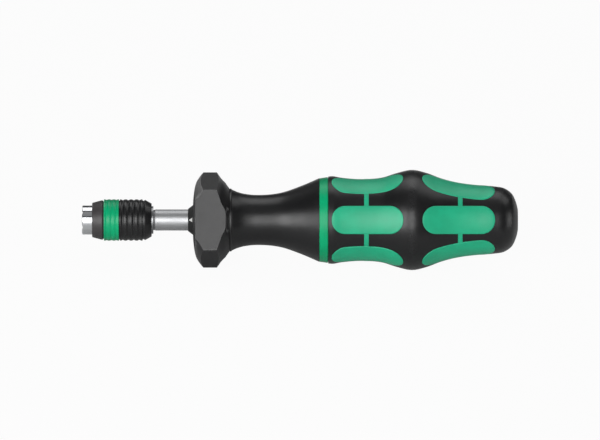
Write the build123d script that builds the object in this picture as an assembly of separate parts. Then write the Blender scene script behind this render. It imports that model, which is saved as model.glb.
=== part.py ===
from build123d import *
from math import asin, cos, pi, radians, sin, sqrt
import os

# A preset torque screwdriver with a quick-release bit chuck. Millimetres.
# +X runs along the tool's axis from the mouth of the bit socket, the origin, to the end
# of the handle, and +Z is up. The tool lies on its side: a wide flat of the collar and a
# row of grip pads face straight down.

# Fits
TURN_GAP = 0.04  # radial gap of a shaft that turns in its bush
SLIDE_GAP = 0.055  # radial gap of a piece that slides on another
LOOSE_GAP = 0.15  # radial gap where nothing is guided
END_GAP = 0.05  # gap between end faces that move past each other
BALL_GAP = 0.03  # radial gap of a ball in its seat

# Bit socket and chuck body
BIT_AF = 6.35  # hexagon bit across its flats
BIT_PLAY = 0.05  # how much wider the socket is
BIT_DEPTH = 14.0  # how deep a bit goes in
FUNNEL_DEPTH = 1.8  # widening lead-in at the mouth
FUNNEL_SPREAD = 0.32  # how far its corners pass the tip's edge, so that the rim is scalloped
TIP_WALL = 1.485  # round the corners of the socket
TIP_ROUND = 0.35
HEAD_LENGTH = 9.0  # the thick front of the chuck body
STEM_STEP = 0.88  # the stem behind the head is this much lower
STEM_WALL = 0.8  # chuck body round the spindle's spigot
SPIGOT_LENGTH = 5.2  # front end of the spindle, pressed into the chuck body
CHUCK_LENGTH = 24.7
STOP_RIM = 0.61  # how far the bright stop washer stands out of the chuck body
STOP_THICK = 0.6

# Bit pusher
PUSHER_PLAY = 0.35  # how much thinner it is than the bit
PUSHER_CHAMFER = 0.3
PUSHER_FLANGE = 1.0
PUSHER_FLANGE_GAP = 0.1
PUSHER_TRAVEL = 2.5
PUSHER_WIRE = 0.5  # square wire
PUSHER_COILS = 3.5

# Locking balls: a sloped land in the lock ring lets them out as the sleeve goes forward
LOCK_BALL_X = 6.0
LOCK_BALL_GAP = 0.035  # between a ball and the lock ring
LOCK_BALL_BITE = 0.4  # how far a ball stands into the socket
SLEEVE_TRAVEL = 2.5
LAND_LEAD = 0.1  # sloped land in front of the ball
LAND_EXTRA = 0.4  # sloped land beyond the travel
LOCK_RING_WALL = 0.815
LOCK_NOSE_WALL = 0.595
LOCK_NOSE = 1.25
SLEEVE_SPRING = 5.5
SLEEVE_WIRE = 0.6  # flat wire, along the axis
SLEEVE_WIRE_GAP = 0.17  # radial gap inside and outside the wire
SLEEVE_COILS = 3.5

# Sleeve: front cone, green ring and ribbed grip
SLEEVE_X = 3.56  # how far the bright tip stands out
SLEEVE_LIP = 0.6
SLEEVE_RIM = 0.885  # front edge of the cone, outside the tip
SLEEVE_CONE = 3.6
SLEEVE_CONE_STEP = 0.29  # the cone ends this much lower than the ribs
SLEEVE_ROUND = 0.2
SLEEVE_WALL = 0.51  # tube that carries the ring and the grip
RING_SEAM = 0.6  # groove between cone and ring
RING_LENGTH = 5.34
RING_RIBS = 3
RING_RIB_DEPTH = 0.16
RIB_WALL = 0.77  # from the tube to the tops of the ribs
RIB_DEPTH = 0.3
GRIP_RIBS = 4
GRIP_SEAM = 0.4  # groove between ring and grip
GRIP_LAND = 1.1  # between the last rib and the rear cone
GRIP_SHOULDER = 0.18  # the rear cone starts this much lower than the ribs
GRIP_LIP_WALL = 0.91
GRIP_TAIL = 2.3

# Spindle
SHANK_STEP = 0.25  # the shank is this much thicker than the spigot
SHANK_RELIEF = 0.8  # chamfered start of the shank
SHANK_LENGTH = 11.8  # bright shank between the stop washer and the collar
TAIL_AF = 5.5  # hexagon that carries the drive cam
BUSH_WALL = 1.25
FRONT_BUSH = 8.0

# Collar: three wide and three narrow flats
BOSS_EDGE = 0.2
BOSS_R = 5.25
BOSS_LENGTH = 2.32
COLLAR_LENGTH = 12.98
COLLAR_CORNER_R = 17.14
COLLAR_FACE_R = 8.6  # where the front face begins to curve back
COLLAR_HALF_ANGLE = 38.76  # from the middle of a wide flat to its corner
COLLAR_EDGE_ROUND = 0.5
COLLAR_DOME = 3.98  # from the front face to the belt
COLLAR_DOME_BEND = (1.33, 3.54)  # a point of the dome, from the face and below the corners
DOME_MEETS_BELT = 51.5  # slope of the dome, in degrees
COLLAR_BELT = 4.4
COLLAR_BACK_BEND = (2.5, 3.09)  # a point of the back, before the neck and below the corners
BACK_LEAVES_BELT = -60.1
BACK_MEETS_NECK = -43.8
COLLAR_WALL = 4.58  # front wall before the neck's spigot
NECK_SPIGOT_WALL = 2.46

# Neck, green ring and handle. The radii are those of the ridges between the six faces
NECK_LENGTH = 31.8
NECK_FRONT_R = 11.2
NECK_WAIST_R = 8.93
NECK_WAIST_AT = 11.6
NECK_REAR_R = 14.85
ACCENT_LENGTH = 3.3
ACCENT_FRONT_R = 14.8
ACCENT_REAR_R = 15.3
HANDLE_FRONT_R = 15.45
LIP_R = 15.6
LIP_AT = 1.2
WAIST_R = 14.56
WAIST_AT = 12.9
BULGE_R = 17.83
BULGE_AT = 30.0
TAIL_R = 12.02
TAIL_BEFORE_END = 8.8
END_R = 3.7
RIDGE_ROUNDING = 0.5  # radius of a ridge for each unit of the outline's radius
FACE_ROUNDING = 2.0  # and of a face

# Soft grips: pads let into the six faces, joined by a thin band
PAD_WIDTH = 10.26
PAD_CORNER_R = 4.2
PAD_DEPTH = 1.3
PAD_COUNT = 6
PAD_BAND = 1.75
FRONT_PADS_AT = 1.4
FRONT_PADS = 25.7
FRONT_BAND_AT = 12.2  # middle of the band from the front of its pads
REAR_PADS_BEFORE_END = 7.9
REAR_PADS = 25.9
REAR_BAND_AT = 13.3

# Clutch housing
HOUSING_IN_NECK = 7.2
HOUSING_R = 9.5
HOUSING_FLAT = 0.4  # depth of the two flats that keep it from turning in the handle
HOUSING_FRONT = 4.0
HOUSING_WALL = 1.3
HOUSING_TAIL = 7.9  # behind the rear plate
HANDLE_END_WALL = 9.0
KEYWAY_DEPTH = 0.65
KEYWAY_WIDTH = 3.2
KEY_GAP = 0.1

# Clutch
WASHER_THICK = 1.0
WASHER_WALL_GAP = 0.7
CAM_THICK = 4.95
CAM_WALL_GAP = 0.5
CLUTCH_BALLS = 4
CLUTCH_BALL_R = 2.0
CLUTCH_BALL_EDGE = 0.5  # between the balls and the cam's rim
CLUTCH_LIFT = 0.9  # how far the balls climb out of the cam's pockets
PLATE_THICK = 5.0
PILOT = 2.0
PILOT_GAP = 0.25
MAIN_SPRING = 24.9
MAIN_SPRING_WALL_GAP = 1.3
MAIN_WIRE_WIDE = 1.8
MAIN_WIRE_THICK = 2.0
MAIN_COILS = 5.5

# Adjuster
NUT_THICK = 6.0
NUT_TRAVEL = 3.0
SCREW_R = 3.0
SCREW_FRONT = 9.0  # how far the screw reaches in front of the nut
THREAD_GAP = 0.05
SCREW_COLLAR_GAP = 3.0  # free thread between the nut's last place and the collar
SCREW_COLLAR_R = 5.5
SCREW_COLLAR = 3.0
REAR_PLATE = 4.0
JOURNAL_R = 3.6
JOURNAL_END = 5.0  # how far the journal stands out of the rear plate
KEY_SOCKET_AF = 4.0
KEY_SOCKET_DEPTH = 4.0
RING_THICK = 1.2
RING_GROOVE = 0.45
RING_WIDTH = 2.25
RING_SPLIT = 2.0
KEY_BORE_R = 3.4
KEY_BORE_CHAMFER = 0.25


def corner_radius(across_flats):
    """The corner radius of a hexagon from its size across the flats."""
    return across_flats / 2 / cos(pi / 6)


# Radii that follow from the sizes above
SOCKET_AF = BIT_AF + BIT_PLAY
SOCKET_CORNER_R = corner_radius(SOCKET_AF)
TIP_R = SOCKET_CORNER_R + TIP_WALL
STEM_R = TIP_R - STEM_STEP
SPIGOT_R = STEM_R - STEM_WALL
SHANK_R = SPIGOT_R + SHANK_STEP
STOP_R = STEM_R + STOP_RIM
PUSHER_R = (BIT_AF - PUSHER_PLAY) / 2
LOCK_LAND_R = TIP_R + SLIDE_GAP
LOCK_BORE_R = STEM_R + SLIDE_GAP
LOCK_BALL_TOP = LOCK_LAND_R - LOCK_BALL_GAP
LOCK_BALL_R = (LOCK_BALL_TOP - SOCKET_AF / 2 + LOCK_BALL_BITE) / 2
LAND_SLOPE = LOCK_BALL_BITE / SLEEVE_TRAVEL  # a ball lifts by this share of the sleeve's travel
LOCK_RING_R = LOCK_LAND_R + LOCK_RING_WALL
LOCK_NOSE_R = LOCK_BORE_R + LOCK_NOSE_WALL
SLEEVE_BORE_R = LOCK_RING_R + TURN_GAP
SLEEVE_TUBE_R = SLEEVE_BORE_R + SLEEVE_WALL
RIB_R = SLEEVE_TUBE_R + RIB_WALL
GRIP_LIP_R = LOCK_NOSE_R + TURN_GAP
BUSH_BORE_R = SHANK_R + TURN_GAP
BUSH_R = BUSH_BORE_R + BUSH_WALL
NECK_SPIGOT_R = BUSH_R + NECK_SPIGOT_WALL
HOUSING_BORE_R = HOUSING_R - HOUSING_WALL
KEYWAY_R = HOUSING_BORE_R + KEYWAY_DEPTH
WASHER_R = HOUSING_BORE_R - WASHER_WALL_GAP
CAM_R = HOUSING_BORE_R - CAM_WALL_GAP
CLUTCH_BALL_PITCH_R = CAM_R - CLUTCH_BALL_EDGE - CLUTCH_BALL_R
MAIN_SPRING_R = HOUSING_BORE_R - MAIN_SPRING_WALL_GAP - MAIN_WIRE_WIDE / 2
PILOT_R = MAIN_SPRING_R - MAIN_WIRE_WIDE / 2 - PILOT_GAP

# Places along the axis that follow from the sizes above
LOCK_STEP_X = HEAD_LENGTH + SLEEVE_SPRING
LOCK_RING_X = SLEEVE_X + SLEEVE_LIP + END_GAP
LOCK_RING_END = CHUCK_LENGTH - END_GAP
RING_X = SLEEVE_X + SLEEVE_CONE + RING_SEAM
GRIP_X = RING_X + RING_LENGTH
GRIP_SHOULDER_X = CHUCK_LENGTH - GRIP_TAIL
SHANK_X = CHUCK_LENGTH + STOP_THICK
BOSS_X = SHANK_X + SHANK_LENGTH
COLLAR_X = BOSS_X + BOSS_LENGTH
SPIGOT_X = COLLAR_X + COLLAR_WALL
NECK_X = COLLAR_X + COLLAR_LENGTH
ACCENT_X = NECK_X + NECK_LENGTH
HANDLE_X = ACCENT_X + ACCENT_LENGTH
HOUSING_X = ACCENT_X - HOUSING_IN_NECK
BORE_X = HOUSING_X + HOUSING_FRONT
CAM_X = BORE_X + WASHER_THICK + END_GAP
CAM_END = CAM_X + CAM_THICK
CLUTCH_BALL_X = CAM_END + END_GAP + CLUTCH_BALL_R
PLATE_END = CLUTCH_BALL_X + PLATE_THICK
NUT_X = PLATE_END + MAIN_SPRING + 2 * END_GAP
NUT_END = NUT_X + NUT_THICK
SCREW_COLLAR_X = NUT_END + NUT_TRAVEL + SCREW_COLLAR_GAP
REAR_PLATE_X = SCREW_COLLAR_X + SCREW_COLLAR + END_GAP
RETAINER_X = REAR_PLATE_X + REAR_PLATE
HOUSING_END = RETAINER_X + HOUSING_TAIL
HANDLE_END = HOUSING_END + HANDLE_END_WALL


def between(first, last, share):
    """The value that lies this share of the way from the first to the last."""
    return first + share * (last - first)


def bends(start, end, *shares):
    """Outline stations between two others, from pairs of shares of their x and radius."""
    return [(between(start[0], end[0], a), between(start[1], end[1], b)) for a, b in shares]


def neck_outline():
    """The neck's (x, radius) stations, from the collar to the green ring."""
    front = (NECK_X, NECK_FRONT_R)
    waist = (NECK_X + NECK_WAIST_AT, NECK_WAIST_R)
    rear = (ACCENT_X, NECK_REAR_R)
    narrowing = bends(front, waist, (0.26, 0.55), (0.61, 0.93))
    widening = bends(waist, rear, (0.32, 0.12), (0.67, 0.52))
    return [front, *narrowing, waist, *widening, rear]


def handle_outline():
    """The handle's (x, radius) stations, from the green ring to the end."""
    lip = (HANDLE_X + LIP_AT, LIP_R)
    waist = (HANDLE_X + WAIST_AT, WAIST_R)
    bulge = (HANDLE_X + BULGE_AT, BULGE_R)
    tail = (HANDLE_END - TAIL_BEFORE_END, TAIL_R)
    end = (HANDLE_END, END_R)
    falling = bends(lip, waist, (0.28, 0.48))
    rising = bends(waist, bulge, (0.386, 0.19), (0.667, 0.648))
    tapering = bends(bulge, tail, (0.171, 0.177), (0.348, 0.504), (0.547, 0.762), (0.794, 0.938))
    closing = bends(tail, end, (0.466, 0.093), (0.75, 0.309), (0.92, 0.663))
    front_half = [(HANDLE_X, HANDLE_FRONT_R), lip, *falling, waist, *rising, bulge]
    return [*front_half, *tapering, tail, *closing, end]


def turned(*points):
    """A solid turned about the axis from (x, radius) points."""
    outline = [(points[0][0], 0), *points, (points[-1][0], 0)]
    return revolve(make_face(Polyline(*outline, close=True)), Axis.X)


def turned_curves(front, curves, rear):
    """A solid turned about the axis from joined curves between two end points."""
    first = Polyline((front[0], 0), front)
    last = Polyline(rear, (rear[0], 0))
    base = Line((rear[0], 0), (front[0], 0))
    return revolve(make_face([first, *curves, last, base]), Axis.X)


def heading(degrees):
    """The direction of an outline that climbs at this angle to the axis."""
    return (cos(radians(degrees)), sin(radians(degrees)))


def rod(start, end, radius):
    """A plain cylinder along the axis."""
    return extrude(Pos(start, 0, 0) * (Plane.YZ * Circle(radius)), end - start)


def tube(start, end, outer, inner):
    """A plain tube along the axis."""
    return rod(start, end, outer) - rod(start, end, inner)


def hexagon(x, corner_r):
    """A hexagon across the axis, with corners on the Y axis and flats above and below."""
    return Pos(x, 0, 0) * (Plane.YZ * RegularPolygon(corner_r, 6))


def hex_bar(start, end, across_flats):
    """A hexagonal bar along the axis."""
    return extrude(hexagon(start, corner_radius(across_flats)), end - start)


def around(solid, count):
    """Evenly spaced copies of a solid about the axis."""
    return [Rot(360 / count * k, 0, 0) * solid for k in range(count)]


def coil_spring(start, end, mean_r, coils, section):
    """A coil spring along the axis with its ends ground flat."""
    thick = section.bounding_box().size.Y
    height = end - start + thick
    path = Helix(pitch=height / coils, height=height, radius=mean_r)
    across = Plane(origin=path @ 0, x_dir=(1, 0, 0), z_dir=path % 0)
    wire = sweep(across * section, path=path, is_frenet=True)
    laid = Pos(start - thick / 2, 0, 0) * Rot(0, 90, 0) * wire
    return laid & rod(start, end, 2 * mean_r)


def six_sided(x, ridge_r):
    """A soft hexagon across the axis: six flat arcs joined by rounder ridges."""
    round_r = RIDGE_ROUNDING * ridge_r
    face_r = FACE_ROUNDING * ridge_r
    ridge_centre = ridge_r - round_r
    to_side = ridge_centre * sin(pi / 6)
    face_centre = sqrt((face_r - round_r) ** 2 - to_side**2) - ridge_centre * cos(pi / 6)
    half = asin(to_side / (face_r - round_r))
    first = face_r * sin(half)
    beyond = face_r * cos(half) - face_centre
    edges = []
    for k in range(6):
        turn = Rot(30 + 60 * k, 0, 0)
        following = Rot(60, 0, 0) * turn
        start = turn * Pos(x, beyond, -first)
        middle = turn * Pos(x, face_r - face_centre, 0)
        end = turn * Pos(x, beyond, first)
        crest = Rot(30, 0, 0) * turn * Pos(x, ridge_r, 0)
        after = following * Pos(x, beyond, -first)
        edges.append(ThreePointArc(start.position, middle.position, end.position))
        edges.append(ThreePointArc(end.position, crest.position, after.position))
    return make_face(edges)


def six_sided_solid(outline, inset=0.0):
    """A soft six-sided solid through (x, ridge radius) stations."""
    return loft([six_sided(x, r - inset) for x, r in outline])


def scalloped(start, end, ribs, depth, radius):
    """Arcs of a ribbed stretch, whose ribs stand between shallow round hollows."""
    pitch = (end - start) / ribs
    curves = []
    for k in range(ribs):
        a = start + pitch * k
        bottom = (a + pitch / 2, radius - depth)
        curves.append(ThreePointArc((a, radius), bottom, (a + pitch, radius)))
    return curves


def lock_ball_at(side):
    """A locking ball's centre, above (1) or below (-1) the socket."""
    return Pos(LOCK_BALL_X, 0, side * (LOCK_BALL_TOP - LOCK_BALL_R))


def chuck_body():
    """The bright body: tip, hexagon socket, ball seats and the bore for pusher and spindle."""
    shoulder_r = TIP_R - TIP_ROUND
    nose_r = TIP_ROUND * (1 - cos(pi / 4))
    nose = ThreePointArc((0, shoulder_r), (nose_r, TIP_R - nose_r), (TIP_ROUND, TIP_R))
    head = Polyline((TIP_ROUND, TIP_R), (HEAD_LENGTH, TIP_R), (HEAD_LENGTH, STEM_R))
    stem = Line((HEAD_LENGTH, STEM_R), (CHUCK_LENGTH, STEM_R))
    body = turned_curves((0, shoulder_r), [nose, head, stem], (CHUCK_LENGTH, STEM_R))
    body -= hex_bar(0, BIT_DEPTH, SOCKET_AF)
    body -= rod(BIT_DEPTH, CHUCK_LENGTH, SPIGOT_R)
    mouth = hexagon(0, TIP_R + FUNNEL_SPREAD)
    body -= loft([mouth, hexagon(FUNNEL_DEPTH, SOCKET_CORNER_R)], ruled=True)
    for side in (1, -1):
        seat = Sphere(LOCK_BALL_R + BALL_GAP)
        seat += Pos(0, 0, side * LOCK_BALL_R) * Cylinder(LOCK_BALL_R + BALL_GAP, 2 * LOCK_BALL_R)
        body -= lock_ball_at(side) * seat
    return body


def bit_pusher():
    """The plunger that lifts a released bit out of the socket."""
    front = BIT_DEPTH - PUSHER_TRAVEL
    flange = BIT_DEPTH + END_GAP
    flange_r = SPIGOT_R - PUSHER_FLANGE_GAP
    return turned(
        (front, PUSHER_R - PUSHER_CHAMFER),
        (front + PUSHER_CHAMFER, PUSHER_R),
        (flange, PUSHER_R),
        (flange, flange_r),
        (flange + PUSHER_FLANGE, flange_r),
    )


def pusher_spring():
    """The spring between the pusher and the spindle's front end."""
    start = BIT_DEPTH + PUSHER_FLANGE + 2 * END_GAP
    end = SHANK_X - SPIGOT_LENGTH - END_GAP
    mean_r = SPIGOT_R - PUSHER_WIRE - LOOSE_GAP
    return coil_spring(start, end, mean_r, PUSHER_COILS, Rectangle(PUSHER_WIRE, PUSHER_WIRE))


def lock_ring():
    """The steel ring that holds the balls in and carries the spinning sleeve."""
    ramp_x = LOCK_BALL_X - LAND_LEAD
    ramp_end = LOCK_BALL_X + SLEEVE_TRAVEL + LAND_EXTRA
    rise = LAND_SLOPE * (ramp_end - ramp_x)
    nose_x = LOCK_RING_END - LOCK_NOSE
    ring = turned(
        (LOCK_RING_X, LOCK_RING_R),
        (nose_x, LOCK_RING_R),
        (nose_x, LOCK_NOSE_R),
        (LOCK_RING_END, LOCK_NOSE_R),
    )
    hollow = turned(
        (LOCK_RING_X, LOCK_LAND_R),
        (ramp_x, LOCK_LAND_R),
        (ramp_end, LOCK_LAND_R + rise),
        (ramp_end + rise, LOCK_LAND_R),
        (LOCK_STEP_X, LOCK_LAND_R),
        (LOCK_STEP_X, LOCK_BORE_R),
        (LOCK_RING_END, LOCK_BORE_R),
    )
    return ring - hollow


def sleeve_spring():
    """The spring between the chuck body's head and the step in the lock ring."""
    mean_r = (STEM_R + LOCK_LAND_R) / 2
    wire = Rectangle(LOCK_LAND_R - STEM_R - 2 * SLEEVE_WIRE_GAP, SLEEVE_WIRE)
    return coil_spring(HEAD_LENGTH + END_GAP, LOCK_STEP_X - END_GAP, mean_r, SLEEVE_COILS, wire)


def sleeve_front():
    """The black front cone and the tube that carries the green ring and the grip."""
    front_r = LOCK_LAND_R + SLEEVE_RIM
    cone_r = RIB_R - SLEEVE_CONE_STEP
    cone_end = SLEEVE_X + SLEEVE_CONE
    lip_end = SLEEVE_X + SLEEVE_LIP
    tube_end = GRIP_SHOULDER_X - GRIP_SEAM
    cone = turned(
        (SLEEVE_X, front_r - SLEEVE_ROUND),
        (SLEEVE_X + SLEEVE_ROUND, front_r),
        (cone_end, cone_r),
        (cone_end + cone_r - SLEEVE_TUBE_R, SLEEVE_TUBE_R),
        (tube_end, SLEEVE_TUBE_R),
    )
    bore = turned(
        (SLEEVE_X, LOCK_LAND_R),
        (lip_end, LOCK_LAND_R),
        (lip_end, SLEEVE_BORE_R),
        (tube_end, SLEEVE_BORE_R),
    )
    return cone - bore


def sleeve_colour_ring():
    """The green ring, with three shallow ribs."""
    curves = scalloped(RING_X, GRIP_X, RING_RIBS, RING_RIB_DEPTH, RIB_R)
    ring = turned_curves((RING_X, RIB_R), curves, (GRIP_X, RIB_R))
    return ring - rod(RING_X, GRIP_X, SLEEVE_TUBE_R)


def sleeve_grip():
    """The black ribbed grip with its rear cone and the lip behind the lock ring."""
    ribs_x = GRIP_X + GRIP_SEAM
    ribs_end = GRIP_SHOULDER_X - GRIP_LAND
    seam_r = RIB_R - RIB_DEPTH
    tail = (CHUCK_LENGTH, GRIP_LIP_R + GRIP_LIP_WALL)
    front = Polyline((GRIP_X, seam_r), (ribs_x, seam_r), (ribs_x, RIB_R))
    ribs = scalloped(ribs_x, ribs_end, GRIP_RIBS, RIB_DEPTH, RIB_R)
    shoulder = (GRIP_SHOULDER_X, RIB_R - GRIP_SHOULDER)
    land = Polyline((ribs_end, RIB_R), (ribs_end + GRIP_SEAM, seam_r), shoulder)
    cone = Line(shoulder, tail)
    grip = turned_curves((GRIP_X, seam_r), [front, *ribs, land, cone], tail)
    lip_x = LOCK_RING_END - LOCK_NOSE + END_GAP
    bore = turned(
        (GRIP_X, SLEEVE_TUBE_R),
        (GRIP_SHOULDER_X - GRIP_SEAM, SLEEVE_TUBE_R),
        (GRIP_SHOULDER_X - GRIP_SEAM, SLEEVE_BORE_R),
        (lip_x, SLEEVE_BORE_R),
        (lip_x, GRIP_LIP_R),
        (CHUCK_LENGTH, GRIP_LIP_R),
    )
    return grip - bore


def spindle():
    """The bright shank, from its spigot in the chuck body to the hexagon in the drive cam."""
    bar = turned(
        (SHANK_X - SPIGOT_LENGTH, SPIGOT_R),
        (SHANK_X, SPIGOT_R),
        (SHANK_X + SHANK_RELIEF, SHANK_R),
        (CAM_X, SHANK_R),
    )
    return bar + hex_bar(CAM_X, CAM_END, TAIL_AF)


def collar():
    """The collar: front cone, domed front, wide and narrow flats, and the neck's socket."""
    belt_x = COLLAR_X + COLLAR_DOME
    belt_end = belt_x + COLLAR_BELT
    boss_edge = (BOSS_X, SHANK_R + LOOSE_GAP + BOSS_EDGE)
    boss = Polyline(boss_edge, (COLLAR_X, BOSS_R), (COLLAR_X, COLLAR_FACE_R))
    dome = Spline(
        (COLLAR_X, COLLAR_FACE_R),
        (COLLAR_X + COLLAR_DOME_BEND[0], COLLAR_CORNER_R - COLLAR_DOME_BEND[1]),
        (belt_x, COLLAR_CORNER_R),
        tangents=(heading(90), heading(DOME_MEETS_BELT)),
    )
    belt = Line((belt_x, COLLAR_CORNER_R), (belt_end, COLLAR_CORNER_R))
    back = Spline(
        (belt_end, COLLAR_CORNER_R),
        (NECK_X - COLLAR_BACK_BEND[0], COLLAR_CORNER_R - COLLAR_BACK_BEND[1]),
        (NECK_X, NECK_FRONT_R),
        tangents=(heading(BACK_LEAVES_BELT), heading(BACK_MEETS_NECK)),
    )
    blank = turned_curves(boss_edge, [boss, dome, belt, back], (NECK_X, NECK_FRONT_R))
    corners = []
    for k in range(3):
        for turn in (-COLLAR_HALF_ANGLE, COLLAR_HALF_ANGLE):
            at = radians(30 + 120 * k + turn)
            corners.append((COLLAR_CORNER_R * cos(at), COLLAR_CORNER_R * sin(at)))
    outline = Plane.YZ * make_face(Polyline(*corners, close=True))
    flats = extrude(Pos(BOSS_X, 0, 0) * outline, NECK_X - BOSS_X)
    flats = fillet(flats.edges().filter_by(Axis.X), COLLAR_EDGE_ROUND)
    bore = rod(BOSS_X, SPIGOT_X, SHANK_R + LOOSE_GAP)
    return (blank & flats) - rod(SPIGOT_X, NECK_X, NECK_SPIGOT_R) - bore


def housing_form(start, end):
    """The clutch housing's outside: a bar with two flats."""
    bar = rod(start, end, HOUSING_R)
    flats = Box(end - start, 2 * HOUSING_R, 2 * (HOUSING_R - HOUSING_FLAT))
    return bar & Pos((start + end) / 2, 0, 0) * flats


def neck():
    """The waisted neck, with its spigot in the collar and the seats of bush and housing."""
    solid = six_sided_solid(neck_outline()) + rod(SPIGOT_X, NECK_X, NECK_SPIGOT_R)
    return solid - rod(SPIGOT_X, HOUSING_X, BUSH_R) - housing_form(HOUSING_X, ACCENT_X)


def accent_ring():
    """The green ring between the neck and the handle."""
    ring = six_sided_solid([(ACCENT_X, ACCENT_FRONT_R), (HANDLE_X, ACCENT_REAR_R)])
    return ring - housing_form(ACCENT_X, HANDLE_X)


def clutch_housing():
    """The steel tube that carries the clutch, with keyways for the plate and the nut."""
    housing = housing_form(HOUSING_X, HOUSING_END)
    housing -= rod(HOUSING_X, BORE_X, BUSH_R)
    housing -= rod(BORE_X, HOUSING_END, HOUSING_BORE_R)
    slot = Box(HOUSING_END - CAM_END, 2 * KEYWAY_R, KEYWAY_WIDTH)
    housing -= Pos((CAM_END + HOUSING_END) / 2, 0, 0) * slot
    return housing - rod(RETAINER_X, RETAINER_X + RING_THICK, HOUSING_BORE_R + RING_GROOVE)


def keyed_disc(start, thick):
    """A disc that slides in the housing on two keys."""
    keys = Box(thick, 2 * (KEYWAY_R - KEY_GAP), KEYWAY_WIDTH - 2 * KEY_GAP)
    disc = rod(start, start + thick, HOUSING_BORE_R - KEY_GAP)
    return disc + Pos(start + thick / 2, 0, 0) * keys


def clutch_ball_seats(x, gap):
    """The clutch balls, or the room that they need."""
    ball = Pos(x, 0, CLUTCH_BALL_PITCH_R) * Sphere(CLUTCH_BALL_R + gap)
    return around(ball, CLUTCH_BALLS)


def drive_cam():
    """The disc on the spindle's end with a pocket for each ball."""
    cam = rod(CAM_X, CAM_END, CAM_R) - hex_bar(CAM_X, CAM_END, TAIL_AF)
    for pocket in clutch_ball_seats(CLUTCH_BALL_X - CLUTCH_LIFT, 2 * BALL_GAP):
        cam -= pocket
    return cam


def pressure_plate():
    """The keyed plate that the main spring presses on to the balls."""
    plate = keyed_disc(CLUTCH_BALL_X, PLATE_THICK) + rod(PLATE_END, PLATE_END + PILOT, PILOT_R)
    for seat in clutch_ball_seats(CLUTCH_BALL_X, BALL_GAP):
        plate -= seat
    return plate


def main_spring():
    """The flat-wire spring that sets the torque."""
    section = Rectangle(MAIN_WIRE_WIDE, MAIN_WIRE_THICK)
    return coil_spring(PLATE_END + END_GAP, NUT_X - END_GAP, MAIN_SPRING_R, MAIN_COILS, section)


def spring_nut():
    """The keyed nut that the adjusting screw draws along. Its thread is left plain."""
    nut = keyed_disc(NUT_X, NUT_THICK) + rod(NUT_X - PILOT, NUT_X, PILOT_R)
    return nut - rod(NUT_X - PILOT, NUT_END, SCREW_R + THREAD_GAP)


def adjusting_screw():
    """The screw, held by its collar, with a key socket at its rear. Its thread is left plain."""
    end = RETAINER_X + JOURNAL_END
    collar_end = SCREW_COLLAR_X + SCREW_COLLAR
    screw = turned(
        (NUT_X - SCREW_FRONT, SCREW_R),
        (SCREW_COLLAR_X, SCREW_R),
        (SCREW_COLLAR_X, SCREW_COLLAR_R),
        (collar_end, SCREW_COLLAR_R),
        (collar_end, JOURNAL_R),
        (end, JOURNAL_R),
    )
    return screw - hex_bar(end - KEY_SOCKET_DEPTH, end, KEY_SOCKET_AF)


def retaining_ring():
    """The split ring in the housing's groove behind the rear plate."""
    middle = RETAINER_X + RING_THICK / 2
    outer = HOUSING_BORE_R + RING_GROOVE
    ring = tube(RETAINER_X, RETAINER_X + RING_THICK, outer, outer - RING_WIDTH)
    return ring - Pos(middle, 0, outer) * Box(2 * RING_THICK, RING_SPLIT, 3 * RING_WIDTH)


def pad_recess(start, length, band_x, floor):
    """The room of one soft grip: six rounded windows and a band, down to the recess floor."""
    outline = Pos(start + length / 2, 0) * RectangleRounded(length, PAD_WIDTH, PAD_CORNER_R)
    reach = 2 * BULGE_R
    window = extrude(Pos(0, 0, HOUSING_R) * outline, reach)
    room = tube(band_x - PAD_BAND / 2, band_x + PAD_BAND / 2, reach, HOUSING_R)
    for pad in around(window, PAD_COUNT):
        room += pad
    return room - floor


def handle_pieces():
    """The hard handle and the two soft grips let into it."""
    form = six_sided_solid(handle_outline())
    floor = six_sided_solid(handle_outline(), PAD_DEPTH)
    front_x = HANDLE_X + FRONT_PADS_AT
    rear_x = HANDLE_END - REAR_PADS_BEFORE_END - REAR_PADS
    front = pad_recess(front_x, FRONT_PADS, front_x + FRONT_BAND_AT, floor)
    rear = pad_recess(rear_x, REAR_PADS, rear_x + REAR_BAND_AT, floor)
    chamfer_r = KEY_BORE_R + KEY_BORE_CHAMFER
    core = form - front - rear - housing_form(HANDLE_X, HOUSING_END)
    core -= rod(HOUSING_END, HANDLE_END, KEY_BORE_R)
    core -= turned((HANDLE_END - KEY_BORE_CHAMFER, KEY_BORE_R), (HANDLE_END, chamfer_r))
    return core, form & front, form & rear


os.makedirs("parts", exist_ok=True)

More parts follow.
